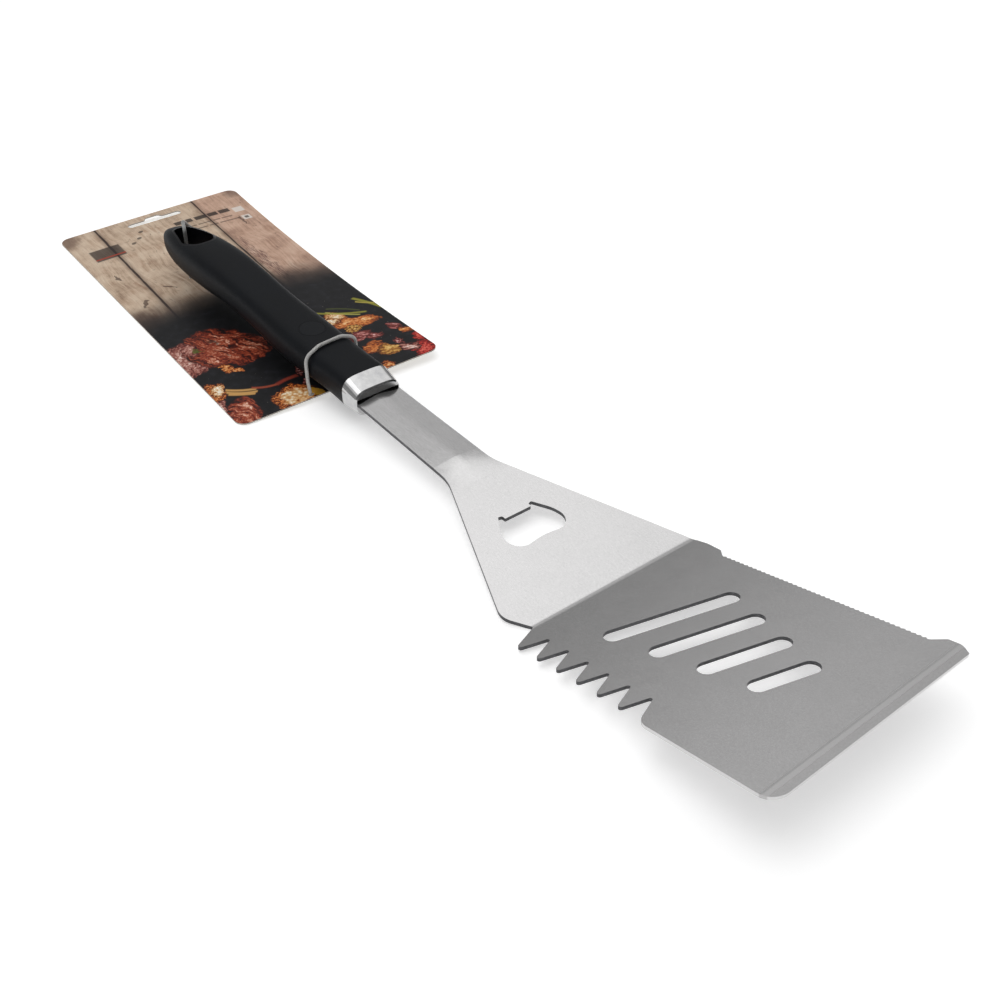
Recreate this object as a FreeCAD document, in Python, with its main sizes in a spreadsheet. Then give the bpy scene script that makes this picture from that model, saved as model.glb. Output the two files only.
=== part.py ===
import FreeCAD, Part
import Sketcher
import math
import os

# Grill spatula tied to its hanging card, in millimetres.
# Working axes: X runs along the tool towards the front of the blade and is zero at the front of
# the ferrule, Y runs across with the teeth on the -Y side, Z is up and zero on the table.
# Every sub-part is moved at the end so that the origin is under the middle of the whole box.

Vector = FreeCAD.Vector
doc = FreeCAD.newDocument("grill_spatula")
sheet = doc.addObject("Spreadsheet::Sheet", "Sizes")

SIZES = {
    # steel head
    "sheet_thickness": 1.5,
    "shank_length": 61.3,
    "shank_drop_angle": 2.9,
    "shank_ridge_rise": 1.0,
    "shank_ridge_width": 3.6,
    "shank_half_width_rear": 10.4,
    "shank_half_width_neck": 11.2,
    "tang_length": 92.0,
    "tang_half_width": 7.5,
    "neck_radius": 22.0,
    "flare_length": 79.2,
    "flare_drop_angle": 6.8,
    "plain_side_slope": 0.429,
    "tooth_side_slope": 0.416,
    "blade_length": 119.8,
    "blade_rise_angle": 11.8,
    "heel_bend_radius": 9.0,
    "blade_plain_half_width": 45.2,
    "front_edge_slant": 0.03,
    "front_strip_width": 5.0,
    "front_shoulder_width": 1.6,
    "front_shoulder_drop": 0.16,
    "front_edge_thickness": 1.38,
    "tooth_pitch": 10.05,
    "tooth_depth": 12.2,
    "tooth_count": 6,
    "slot_width": 7.0,
    "slot_tilt_angle": 17.5,
    "slot_pitch": 17.3,
    "slot_count": 4,
    "serration_pitch": 2.0,
    "serration_depth": 0.6,
    # grip, core and ferrule
    "grip_length": 171.5,
    "grip_half_width": 12.55,
    "grip_half_height": 9.3,
    "grip_rear_lift": 7.2,
    "sleeve_thickness": 1.8,
    "ferrule_length": 9.0,
    "ferrule_wall": 1.2,
    "ferrule_front_half_width": 11.2,
    "ferrule_front_half_height": 6.1,
    "ferrule_middle_height": 12.8,
    "ferrule_ridge_bevel": 0.6,
    "ferrule_slot_gap": 0.15,
    "tang_clearance": 0.2,
    "core_nose_clearance": 0.15,
    "hang_hole_half_width": 8.2,
    "hang_hole_length": 27.0,
    "hang_hole_end_margin": 12.0,
    "hang_hole_collar": 1.2,
    # screw and its cover
    "screw_distance": 40.0,
    "screw_shank_diameter": 3.4,
    "screw_head_diameter": 7.0,
    "screw_head_height": 2.2,
    "screw_length": 9.0,
    "tang_hole_diameter": 4.2,
    "screw_head_clearance": 0.4,
    "screw_head_depth": 0.6,
    "core_below_screw": 2.5,
    "screw_recess_radius": 1.7,
    "screw_recess_depth": 1.2,
    "cover_diameter": 11.4,
    "cover_clearance": 0.15,
    # card
    "card_length": 211.9,
    "card_width": 100.2,
    "card_thickness": 0.6,
    "card_corner_radius": 5.0,
    "card_front_gap": 30.6,
    "card_skew_angle": 4.05,
    "card_middle_rise": 2.2,
    "card_rear_corner_rise": 4.3,
    "card_front_corner_rise": 5.2,
    "euro_slot_length": 30.0,
    "euro_slot_height": 4.0,
    "euro_slot_margin": 8.0,
    "euro_slot_hump_radius": 5.0,
    # ties
    "front_tie_diameter": 1.6,
    "rear_tie_diameter": 1.8,
    "tie_wire_diameter": 0.6,
    "tie_hole_clearance": 0.8,
    "front_tie_distance": 26.0,
    "rear_tie_distance": 17.6,
}

for row, (alias, value) in enumerate(SIZES.items(), start=1):
    sheet.set("A%d" % row, alias)
    sheet.set("B%d" % row, str(value))
    sheet.setAlias("B%d" % row, alias)
doc.recompute()


def size(alias):
    return float(sheet.get(alias))


# ---------------------------------------------------------------- shared geometry helpers

def rounded_path(corners, closed=True):
    """Lines joined by tangent arcs through corners given as (point, radius)."""
    count = len(corners)
    points = [Vector(*corner[0]) for corner in corners]
    radii = [corner[1] for corner in corners]
    starts = []
    ends = []
    arcs = []
    for index in range(count):
        here = points[index]
        loose_end = not closed and index in (0, count - 1)
        if radii[index] == 0 or loose_end:
            starts.append(here)
            ends.append(here)
            arcs.append(None)
            continue
        back = (points[index - 1] - here).normalize()
        ahead = (points[(index + 1) % count] - here).normalize()
        half = back.getAngle(ahead) / 2
        reach = radii[index] / math.tan(half)
        middle = (back + ahead).normalize()
        tip = here + middle * (radii[index] / math.sin(half) - radii[index])
        starts.append(here + back * reach)
        ends.append(here + ahead * reach)
        arcs.append(tip)
    pieces = []
    for index in range(count):
        if arcs[index] is not None:
            pieces.append(Part.Arc(starts[index], arcs[index], ends[index]))
        if closed or index < count - 1:
            following = (index + 1) % count
            if ends[index].distanceToPoint(starts[following]) > 1e-6:
                pieces.append(Part.LineSegment(ends[index], starts[following]))
    return pieces


def flat_corners(corners):
    """Corners (x, y, radius) of a plan outline as (point, radius)."""
    return [((x, y, 0.0), radius) for x, y, radius in corners]


def wire_of(pieces):
    return Part.Wire([piece.toShape() for piece in pieces])


def plan_prism(name, corners, bottom, top):
    """A vertical prism over a closed plan outline."""
    outline = doc.addObject("Part::Feature", name + "_outline")
    outline.Shape = Part.Face(wire_of(rounded_path(flat_corners(corners))))
    outline.Placement = FreeCAD.Placement(Vector(0, 0, bottom), FreeCAD.Rotation())
    prism = doc.addObject("Part::Extrusion", name)
    prism.Base = outline
    prism.DirMode = "Custom"
    prism.Dir = Vector(0, 0, 1)
    prism.LengthFwd = top - bottom
    prism.Solid = True
    return prism


def cylinder(name, diameter, height, base, extra=0.0):
    """An upright cylinder whose diameter is bound to a cell, plus a fixed extra."""
    rod = doc.addObject("Part::Cylinder", name)
    rod.setExpression("Radius", "(Sizes.%s + %g) / 2" % (diameter, extra))
    rod.Height = height
    rod.Placement = FreeCAD.Placement(base, FreeCAD.Rotation())
    return rod


def combine(kind, name, pieces):
    result = doc.addObject(kind, name)
    result.Shapes = pieces
    return result


def cut(name, base, tool):
    result = doc.addObject("Part::Cut", name)
    result.Base = base
    result.Tool = tool
    return result


def loft(name, sections, ruled=False):
    features = []
    for index, section in enumerate(sections):
        feature = doc.addObject("Part::Feature", "%s_section_%d" % (name, index))
        feature.Shape = section
        features.append(feature)
    body = doc.addObject("Part::Loft", name)
    body.Sections = features
    body.Solid = True
    body.Ruled = ruled
    return body


# ---------------------------------------------------------------- heights along the tool

def slope(alias):
    return math.tan(math.radians(size(alias)))


def flare_x(along):
    return size("shank_length") + along * math.cos(math.radians(size("flare_drop_angle")))


def blade_x(along):
    return flare_x(size("flare_length")) + along * math.cos(math.radians(size("blade_rise_angle")))


HEEL_HEIGHT = size("sheet_thickness") / 2
NECK_HEIGHT = HEEL_HEIGHT + (flare_x(size("flare_length")) - size("shank_length")) * slope("flare_drop_angle")


def shank_height(x):
    """Middle of the sheet at the edges of the shank and tang."""
    return NECK_HEIGHT + (size("shank_length") - x) * slope("shank_drop_angle")


def flare_height(x):
    """Middle of the sheet along the flare."""
    return HEEL_HEIGHT + (flare_x(size("flare_length")) - x) * slope("flare_drop_angle")


# ---------------------------------------------------------------- steel head

HEAD_MARGIN = 8.0
STRIP_WIDTH = 2 * size("blade_plain_half_width") + 4 * HEAD_MARGIN
RIDGE_RUNOUT = 8.0
RUNOUT_START = size("shank_length") - RIDGE_RUNOUT
RUNOUT_END = size("shank_length") + RIDGE_RUNOUT
RUNOUT_STEPS = 4


def origin_plane(body, role):
    return [feature for feature in body.Origin.OriginFeatures if feature.Role == role][0]


def sketch_on(body, name, role, pieces, offset=0.0):
    sketch = body.newObject("Sketcher::SketchObject", name)
    sketch.AttachmentSupport = (origin_plane(body, role), [""])
    sketch.MapMode = "FlatFace"
    sketch.AttachmentOffset = FreeCAD.Placement(Vector(0, 0, offset), FreeCAD.Rotation())
    sketch.addGeometry(pieces, False)
    return sketch


def head_side_profile():
    """Side view of flare and blade: a bent strip of even thickness."""
    half = size("sheet_thickness") / 2
    start = RUNOUT_END
    heel = flare_x(size("flare_length"))
    front = blade_x(size("blade_length")) + HEAD_MARGIN
    flare_half = half / math.cos(math.radians(size("flare_drop_angle")))
    blade_half = half / math.cos(math.radians(size("blade_rise_angle")))
    start_height = flare_height(start)
    front_height = HEEL_HEIGHT + (front - heel) * slope("blade_rise_angle")
    bend_angle = math.radians(size("flare_drop_angle") + size("blade_rise_angle")) / 2
    lean = math.radians(size("blade_rise_angle") - size("flare_drop_angle")) / 2
    reach = half / math.cos(bend_angle)
    upper = (heel - reach * math.sin(lean), HEEL_HEIGHT + reach * math.cos(lean))
    lower = (heel + reach * math.sin(lean), HEEL_HEIGHT - reach * math.cos(lean))
    radius = size("heel_bend_radius")
    corners = [
        (start, start_height - flare_half, 0),
        (lower[0], lower[1], radius + half),
        (front, front_height - blade_half, 0),
        (front, front_height + blade_half, 0),
        (upper[0], upper[1], radius - half),
        (start, start_height + flare_half, 0),
    ]
    return rounded_path(flat_corners(corners))


def ridge_share(half_width):
    """Share of the ridge's rise that is lost between the middle and a given half width."""
    return half_width / size("shank_half_width_neck")


def ridged_section(x, half_width, edge_height, rise, half_thickness):
    """Section of the shank: two straight slopes that meet in a rounded ridge along the middle."""
    top = edge_height + rise
    side = top - rise * ridge_share(half_width)
    ridge_radius = size("shank_ridge_width") / 2 * size("shank_half_width_neck") / rise
    corners = [
        (-half_width, side - half_thickness, 0),
        (0.0, top - half_thickness, ridge_radius),
        (half_width, side - half_thickness, 0),
        (half_width, side + half_thickness, 0),
        (0.0, top + half_thickness, ridge_radius),
        (-half_width, side + half_thickness, 0),
    ]
    return rounded_path(flat_corners(corners))


def runout_section(share, half_width):
    """Section where the shank turns into the flare: the bend is smooth and the ridge fades out."""
    x = RUNOUT_START + share * (RUNOUT_END - RUNOUT_START)
    start_slope = slope("shank_drop_angle")
    end_slope = slope("flare_drop_angle")
    travel = x - RUNOUT_START
    bend = (end_slope - start_slope) / (2 * (RUNOUT_END - RUNOUT_START))
    edge_height = shank_height(RUNOUT_START) - start_slope * travel - bend * travel ** 2
    least_rise = 0.01
    fade = 1 - share * share * (3 - 2 * share)
    rise = least_rise + (size("shank_ridge_rise") - least_rise) * fade
    lean = math.radians(size("flare_drop_angle") * share + size("shank_drop_angle") * (1 - share))
    half = size("sheet_thickness") / 2 / math.cos(lean)
    return x, ridged_section(x, half_width, edge_height, rise, half)


def plain_side_corners():
    """Outline of the +Y side, from the tang to the front corner."""
    neck = size("shank_half_width_neck")
    heel_y = neck + size("plain_side_slope") * size("flare_length")
    length = size("blade_length")
    edge_start = 17.0
    edge_end = length - 13.6
    edge_y = heel_y - 1.6
    edge_slope = 0.04
    corners = [
        (-size("tang_length"), size("tang_half_width"), 3.0),
        (-size("ferrule_length") + 3.0, size("tang_half_width"), 0.8),
        (-size("ferrule_length") + 3.0, size("shank_half_width_rear"), 0.5),
        (flare_x(0.5), neck, size("neck_radius")),
        (flare_x(size("flare_length")), heel_y, 30.0),
        (blade_x(7.0), heel_y + 1.1, 12.0),
        (blade_x(14.2), heel_y + 0.6, 1.2),
        (blade_x(edge_start), edge_y, 0),
    ]
    count = int((edge_end - edge_start) / size("serration_pitch"))
    for index in range(1, count + 1):
        along = edge_start + index * size("serration_pitch")
        valley = edge_y + (along - edge_start) * edge_slope - size("serration_depth")
        peak = valley + size("serration_depth")
        corners.append((blade_x(along - size("serration_pitch") / 2), valley, 0))
        corners.append((blade_x(along), peak, 0))
    corners += [
        (blade_x(length - 11.0), edge_y + (length - 28) * edge_slope + 3.3, 1.5),
        (blade_x(length - 5.5), edge_y + (length - 28) * edge_slope + 3.5, 4.0),
        (front_edge_x(48.3), 48.3, 0.6),
    ]
    return corners


def front_edge_x(y):
    return blade_x(size("blade_length")) - size("front_edge_slant") * y


def tooth_side_corners():
    """Outline of the -Y side, from the front corner back to the tang."""
    neck = size("shank_half_width_neck")
    side = -size("blade_plain_half_width")
    root_y = side + size("tooth_depth") + 0.3
    tip_y = side + 0.3
    first_root = 0.3
    pitch = size("tooth_pitch")
    count = int(size("tooth_count"))
    last_root = first_root + count * pitch
    corners = [
        (front_edge_x(side), side, 6.5),
        (blade_x(last_root + 5.6), side, 5.0),
        (blade_x(last_root), root_y, 0.8),
    ]
    for index in reversed(range(count)):
        root = first_root + index * pitch
        corners.append((blade_x(root + 5.6), tip_y - 1.0, 1.1))
        if index:
            corners.append((blade_x(root), root_y, 0.8))
    shoulder = size("flare_length") - 9.8
    corners += [
        (blade_x(first_root), root_y, 0.8),
        (flare_x(shoulder), -neck - size("tooth_side_slope") * (shoulder - 1.7), 7.0),
        (flare_x(1.7), -neck, size("neck_radius")),
        (-size("ferrule_length") + 3.0, -size("shank_half_width_rear"), 0.5),
        (-size("ferrule_length") + 3.0, -size("tang_half_width"), 0.8),
        (-size("tang_length"), -size("tang_half_width"), 3.0),
    ]
    return corners


def slot_pieces(index):
    """One slanted slot of the blade: a round-ended slot whose length steps down forwards."""
    middle_x = blade_x(31.2 + index * size("slot_pitch"))
    middle_y = 3.1 - 0.48 * index
    half_length = 22.3 - 4.3 * index
    radius = size("slot_width") / 2
    tilt = math.radians(size("slot_tilt_angle"))
    along = Vector(math.sin(tilt), math.cos(tilt), 0)
    across = Vector(math.cos(tilt), -math.sin(tilt), 0)
    middle = Vector(middle_x, 0, 0) + along * (middle_y / math.cos(tilt))
    far = middle + along * half_length
    near = middle - along * half_length
    return [
        Part.LineSegment(near + across * radius, far + across * radius),
        Part.Arc(far + across * radius, far + along * radius, far - across * radius),
        Part.LineSegment(far - across * radius, near - across * radius),
        Part.Arc(near - across * radius, near - along * radius, near + across * radius),
    ]


def opener_corners():
    """Bottle opener: a straight lifting tab between two notches, and a wide rounded mouth."""
    one_side = [
        (30.9, 6.3, 0.3),
        (29.2, 6.5, 0.3),
        (28.8, 8.1, 0.6),
        (36.4, 12.9, 14.0),
        (47.9, 15.2, 6.0),
    ]
    corners = [(flare_x(along), y, radius) for along, y, radius in one_side]
    corners.append((flare_x(45.6), 0.0, 25.0))
    corners += [(flare_x(along), -y, radius) for along, y, radius in reversed(one_side)]
    return corners


def strip_cut_section(y):
    """Section at y of what is taken off the top near the front edge: a shoulder, then a flat strip."""
    thickness = size("sheet_thickness")
    rise = slope("blade_rise_angle")
    heel = flare_x(size("flare_length"))
    front = front_edge_x(y)
    back = front - size("front_strip_width")
    foot = back + size("front_shoulder_width")

    def underside(x):
        return HEEL_HEIGHT + (x - heel) * rise - thickness / 2

    foot_thickness = thickness - size("front_shoulder_drop")
    growth = (size("front_edge_thickness") - foot_thickness) / (front - foot)
    beyond = 2.0
    above = 3 * thickness
    corners = [
        (back, underside(back) + thickness * 1.02, 1.0),
        (foot, underside(foot) + foot_thickness, 2.0),
        (front + beyond, underside(front + beyond) + size("front_edge_thickness") + growth * beyond, 0),
        (front + beyond, underside(front) + above, 0),
        (back - beyond, underside(back) + above, 0),
        (back - beyond, underside(back - beyond) + thickness * 1.05, 0),
    ]
    return rounded_path(flat_corners(corners))


def pocket(body, name, sketch):
    hollow = body.newObject("PartDesign::Pocket", name)
    hollow.Profile = sketch
    hollow.Type = "ThroughAll"
    before = body.Shape.Volume
    doc.recompute()
    if body.Shape.Volume >= before:
        raise RuntimeError(name + " cuts nothing")
    return hollow


def make_steel_head():
    body = doc.addObject("PartDesign::Body", "steel_head")
    strip = body.newObject("PartDesign::Pad", "flare_and_blade")
    strip.Profile = sketch_on(body, "side_profile", "XZ_Plane", head_side_profile())
    strip.setExpression("Length", "2 * Sizes.blade_plain_half_width + %g" % (4 * HEAD_MARGIN))
    strip.Midplane = True
    doc.recompute()
    wide = size("shank_half_width_neck") + 6.0
    half = size("sheet_thickness") / 2
    rise = size("shank_ridge_rise")
    runout = body.newObject("PartDesign::AdditiveLoft", "ridge_runout")
    sketches = []
    for index in range(RUNOUT_STEPS + 1):
        x, pieces = runout_section(index / RUNOUT_STEPS, wide)
        sketches.append(sketch_on(body, "runout_%d" % index, "YZ_Plane", pieces, x))
    runout.Profile = sketches[0]
    runout.Sections = sketches[1:]
    doc.recompute()
    shank = body.newObject("PartDesign::AdditiveLoft", "shank_and_tang")
    tang_rear = -size("tang_length") - HEAD_MARGIN
    rear_profile = ridged_section(tang_rear, wide, shank_height(tang_rear), rise, half)
    front_profile = ridged_section(RUNOUT_START, wide, shank_height(RUNOUT_START), rise, half)
    shank.Profile = sketch_on(body, "tang_end", "YZ_Plane", rear_profile, tang_rear)
    shank.Sections = [sketch_on(body, "shank_end", "YZ_Plane", front_profile, RUNOUT_START)]
    shank.Ruled = True
    doc.recompute()

    above = 60.0
    rear = -size("tang_length") - 4 * HEAD_MARGIN
    front = blade_x(size("blade_length")) + 4 * HEAD_MARGIN
    far = STRIP_WIDTH
    frame = rounded_path(flat_corners([(rear, -far, 0), (front, -far, 0), (front, far, 0), (rear, far, 0)]))
    outline = rounded_path(flat_corners(plain_side_corners() + tooth_side_corners()))
    pocket(body, "blanking", sketch_on(body, "plan_outline", "XY_Plane", frame + outline, above))
    slots = []
    for index in range(int(size("slot_count"))):
        slots += slot_pieces(index)
    pocket(body, "slots", sketch_on(body, "slot_outlines", "XY_Plane", slots, above))
    opener = rounded_path(flat_corners(opener_corners()))
    pocket(body, "bottle_opener", sketch_on(body, "opener_outline", "XY_Plane", opener, above))
    circle = Part.Circle(Vector(screw_x(), 0, 0), Vector(0, 0, 1), size("tang_hole_diameter") / 2)
    hole = sketch_on(body, "screw_hole", "XY_Plane", [circle], above)
    radius = hole.addConstraint(Sketcher.Constraint("Radius", 0, circle.Radius))
    hole.setExpression("Constraints[%d]" % radius, "Sizes.tang_hole_diameter / 2")
    pocket(body, "tang_hole", hole)
    strip_cut = body.newObject("PartDesign::SubtractiveLoft", "front_strip")
    strip_cut.Profile = sketch_on(body, "strip_near", "XZ_Plane", strip_cut_section(-far), far)
    strip_cut.Sections = [sketch_on(body, "strip_far", "XZ_Plane", strip_cut_section(far), -far)]
    strip_cut.Ruled = True
    doc.recompute()
    return body


# ---------------------------------------------------------------- grip, core and ferrule

# Stations along the grip: share of its length behind the ferrule, half width and half height
# as shares of the greatest ones, and share of the rear lift.
GRIP_STATIONS = [
    (0.00, 0.945, 0.83, 0.00),
    (0.07, 0.930, 0.85, 0.11),
    (0.16, 0.975, 0.89, 0.16),
    (0.25, 0.995, 0.96, 0.22),
    (0.34, 0.965, 0.95, 0.37),
    (0.43, 0.925, 0.92, 0.60),
    (0.52, 0.925, 0.93, 0.83),
    (0.61, 0.965, 0.97, 0.97),
    (0.70, 1.000, 1.00, 1.00),
    (0.79, 0.970, 0.96, 0.97),
    (0.87, 0.860, 0.86, 0.94),
    (0.93, 0.680, 0.70, 0.92),
    (0.97, 0.460, 0.48, 0.90),
    (0.99, 0.270, 0.29, 0.89),
    (1.00, 0.100, 0.11, 0.89),
]
SQUARENESS = 2.8
FERRULE_SQUARENESS = 3.4
ROUND_POINTS = 16
FERRULE_REAR_MIDDLE = size("ferrule_middle_height") + 1.2


def oval_section(x, half_width, half_height, middle, squareness):
    """A closed smooth section between an ellipse and a rectangle."""
    points = []
    for index in range(ROUND_POINTS):
        angle = 2 * math.pi * index / ROUND_POINTS
        across = math.cos(angle)
        upward = math.sin(angle)
        reach = (abs(across) ** squareness + abs(upward) ** squareness) ** (-1 / squareness)
        points.append(Vector(x, half_width * reach * across, middle + half_height * reach * upward))
    curve = Part.BSplineCurve()
    curve.interpolate(Points=points, PeriodicFlag=True)
    return Part.Wire([curve.toShape()])


def grip_middle(share):
    return FERRULE_REAR_MIDDLE + share * size("grip_rear_lift")


def grip_sections(inset):
    """Sections of the grip, drawn in by an inset on every side and at the rear end."""
    sections = []
    length = size("grip_length") - inset
    for place, width, height, lift in GRIP_STATIONS:
        x = -size("ferrule_length") - place * length
        half_width = max(size("grip_half_width") * width - inset, size("grip_half_width") * width / 3)
        half_height = max(size("grip_half_height") * height - inset, size("grip_half_height") * height / 3)
        blend = min(place / 0.16, 1.0)
        squareness = FERRULE_SQUARENESS + (SQUARENESS - FERRULE_SQUARENESS) * blend
        sections.append(oval_section(x, half_width, half_height, grip_middle(lift), squareness))
    return sections


def ferrule_sections(inset, ridge=True):
    """Sections of the ferrule, from its rear end to its front face."""
    rear_width = size("grip_half_width") * GRIP_STATIONS[0][1] - inset
    rear_height = size("grip_half_height") * GRIP_STATIONS[0][2] - inset
    front_width = size("ferrule_front_half_width") - inset
    front_height = size("ferrule_front_half_height") - inset
    middle = size("ferrule_middle_height")
    bevel = size("ferrule_ridge_bevel")
    rear = -size("ferrule_length")
    front = -inset
    sections = [oval_section(rear, rear_width, rear_height, FERRULE_REAR_MIDDLE, FERRULE_SQUARENESS)]
    if ridge:
        sections.append(oval_section(-bevel, front_width + 0.05, front_height + 0.05, middle,
                                     FERRULE_SQUARENESS))
        front_width -= bevel
        front_height -= bevel
    sections.append(oval_section(front, front_width, front_height, middle, FERRULE_SQUARENESS))
    return sections


def tang_slot(name, half_width, clearance, rear, front):
    """A straight passage along the shank line, higher than the ridged sheet by a clearance."""
    rise = size("shank_ridge_rise")
    drop = rise * ridge_share(half_width)
    half = size("sheet_thickness") / 2 + clearance
    sections = []
    for x in (rear, front):
        crown = shank_height(x) + rise
        corners = [((x, -half_width, crown - drop - half), 0.4), ((x, half_width, crown - drop - half), 0.4),
                   ((x, half_width, crown + half), 0.4), ((x, -half_width, crown + half), 0.4)]
        sections.append(wire_of(rounded_path(corners)))
    return loft(name, sections, ruled=True)


def hang_hole_corners(extra):
    """Teardrop plan of the hang hole, narrow at the rear and round and wide at the front."""
    rear = -size("ferrule_length") - size("grip_length") + size("hang_hole_end_margin") - extra
    front = rear + size("hang_hole_length") + 2 * extra
    widest = rear + 0.7 * (front - rear)
    wide = size("hang_hole_half_width") + extra
    one_side = [(rear, 0.42 * wide, 3.3), (widest, wide, 7.0), (front, 0.55 * wide, 5.0)]
    return [(x, -y, radius) for x, y, radius in one_side] + one_side[::-1]


def screw_x():
    return -size("ferrule_length") - size("screw_distance")


def grip_top_at(x):
    """Height of the top line of the core below the sleeve, between the two nearest stations."""
    place = (-size("ferrule_length") - x) / size("grip_length")
    for before, after in zip(GRIP_STATIONS, GRIP_STATIONS[1:]):
        if before[0] <= place <= after[0]:
            share = (place - before[0]) / (after[0] - before[0])
            height = before[2] + share * (after[2] - before[2])
            lift = before[3] + share * (after[3] - before[3])
            return grip_middle(lift) + size("grip_half_height") * height
    raise ValueError("outside the grip")


def screw_reach():
    """Length of the screw below its head: the stated length, or less where the core is thin."""
    core_height = 2 * (grip_top_at(screw_x()) - grip_middle(SCREW_LIFT)) - 2 * size("sleeve_thickness")
    room = core_height - size("screw_head_height") - size("screw_head_depth") - size("core_below_screw")
    return min(size("screw_length"), room)


HIGH = 60.0
SCREW_LIFT = 0.21
SCREW_JOIN = 0.5
SCREW_HEAD_TOP = grip_top_at(screw_x()) - size("sleeve_thickness") - size("screw_head_depth")
SCREW_SEAT = SCREW_HEAD_TOP - size("screw_head_height")


def make_handle():
    """Core, soft sleeve and screw cover, all cut from the same pair of outer shapes."""
    outer = loft("grip_outer", grip_sections(0.0))
    inner = loft("core_outer", grip_sections(size("sleeve_thickness")))
    hole = plan_prism("hang_hole", hang_hole_corners(0.0), -5.0, HIGH)
    collar = plan_prism("hang_collar", hang_hole_corners(size("hang_hole_collar")), -5.0, HIGH)
    collar_ring = combine("Part::MultiCommon", "collar_ring", [outer, collar])

    nose_inset = size("ferrule_wall") + size("core_nose_clearance")
    nose = loft("core_nose", ferrule_sections(nose_inset, ridge=False), ruled=True)
    solid_core = combine("Part::MultiFuse", "core_blank", [inner, collar_ring, nose])
    clearance = size("tang_clearance")
    slot = tang_slot("tang_passage", size("tang_half_width") + clearance, clearance,
                     -size("tang_length") - 1.0, -size("ferrule_length") + 4.0)
    shoulder = tang_slot("shoulder_passage", size("shank_half_width_rear") + clearance, clearance,
                         -size("ferrule_length") + 2.6, 2.0)
    seat = Vector(screw_x(), 0, SCREW_SEAT)
    counterbore = cylinder("screw_counterbore", "screw_head_diameter", HIGH, seat,
                           2 * size("screw_head_clearance"))
    pilot_depth = screw_reach() + SCREW_JOIN
    pilot = cylinder("screw_pilot", "screw_shank_diameter", pilot_depth, seat - Vector(0, 0, pilot_depth))
    core_cuts = combine("Part::MultiFuse", "core_cuts", [slot, shoulder, counterbore, pilot, hole])
    core = cut("handle_core", solid_core, core_cuts)

    cover_hole = cylinder("cover_hole", "cover_diameter", HIGH, seat, 2 * size("cover_clearance"))
    sleeve_cuts = combine("Part::MultiFuse", "sleeve_cuts", [inner, collar, cover_hole])
    sleeve = cut("grip_sleeve", outer, sleeve_cuts)

    cover_rod = cylinder("cover_rod", "cover_diameter", HIGH, seat)
    cover_cap = combine("Part::MultiCommon", "cover_cap", [outer, cover_rod])
    cover = cut("screw_cover", cover_cap, inner)
    return core, sleeve, cover


def make_ferrule():
    shell = loft("ferrule_outer", ferrule_sections(0.0), ruled=True)
    hollow = loft("ferrule_hollow", ferrule_sections(size("ferrule_wall"), ridge=False), ruled=True)
    opening = tang_slot("ferrule_opening", size("shank_half_width_rear") + size("ferrule_slot_gap"), 0.3,
                        -size("ferrule_length") - 1.0, 3.0)
    cuts = combine("Part::MultiFuse", "ferrule_cuts", [hollow, opening])
    return cut("ferrule", shell, cuts)


def make_tang_screw():
    seat = Vector(screw_x(), 0, SCREW_SEAT)
    head = doc.addObject("Part::Cylinder", "screw_head")
    head.setExpression("Radius", "Sizes.screw_head_diameter / 2")
    head.setExpression("Height", "Sizes.screw_head_height")
    head.Placement = FreeCAD.Placement(seat, FreeCAD.Rotation())
    shank = doc.addObject("Part::Cylinder", "screw_shank")
    shank.setExpression("Radius", "Sizes.screw_shank_diameter / 2")
    shank.Height = screw_reach() + SCREW_JOIN
    shank.Placement = FreeCAD.Placement(seat - Vector(0, 0, screw_reach()), FreeCAD.Rotation())
    recess = doc.addObject("Part::Prism", "screw_recess")
    recess.Polygon = 6
    recess.setExpression("Circumradius", "Sizes.screw_recess_radius")
    recess.Height = size("screw_head_height")
    recess_floor = size("screw_head_height") - size("screw_recess_depth")
    recess.Placement = FreeCAD.Placement(seat + Vector(0, 0, recess_floor), FreeCAD.Rotation())
    blank = combine("Part::MultiFuse", "screw_blank", [head, shank])
    return cut("tang_screw", blank, recess)


# ---------------------------------------------------------------- card

def card_point(x, y, z=0.0):
    """A point of the card's own plan, turned by the skew about the front of the ferrule."""
    turn = FreeCAD.Rotation(Vector(0, 0, 1), -size("card_skew_angle"))
    return turn.multVec(Vector(x, y, z))


def card_corners():
    front = -size("card_front_gap")
    rear = front - size("card_length")
    half = size("card_width") / 2
    corners = []
    for x, y in ((rear, -half), (front, -half), (front, half), (rear, half)):
        place = card_point(x, y)
        corners.append((place.x, place.y, size("card_corner_radius")))
    return corners


def card_underside():
    """Underside of the card: flat along -Y, raised in the middle and at the two +Y corners."""
    front = -size("card_front_gap")
    rear = front - size("card_length")
    half = size("card_width") / 2
    over = 4.0
    middle = size("card_middle_rise")
    rows = [
        (rear - over, middle, size("card_rear_corner_rise")),
        (rear + 0.36 * size("card_length"), middle, 0.5),
        (rear + 0.62 * size("card_length"), middle, 0.9),
        (front + over, middle + 0.4, size("card_front_corner_rise")),
    ]
    sections = []
    for x, centre_rise, side_rise in rows:
        curve = Part.BSplineCurve()
        curve.interpolate(Points=[card_point(x, -half - over, 0.0), card_point(x, 0.0, centre_rise),
                                  card_point(x, half + over, side_rise)])
        sections.append(Part.Wire([curve.toShape()]))
    return Part.makeLoft(sections, False, False)


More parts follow.
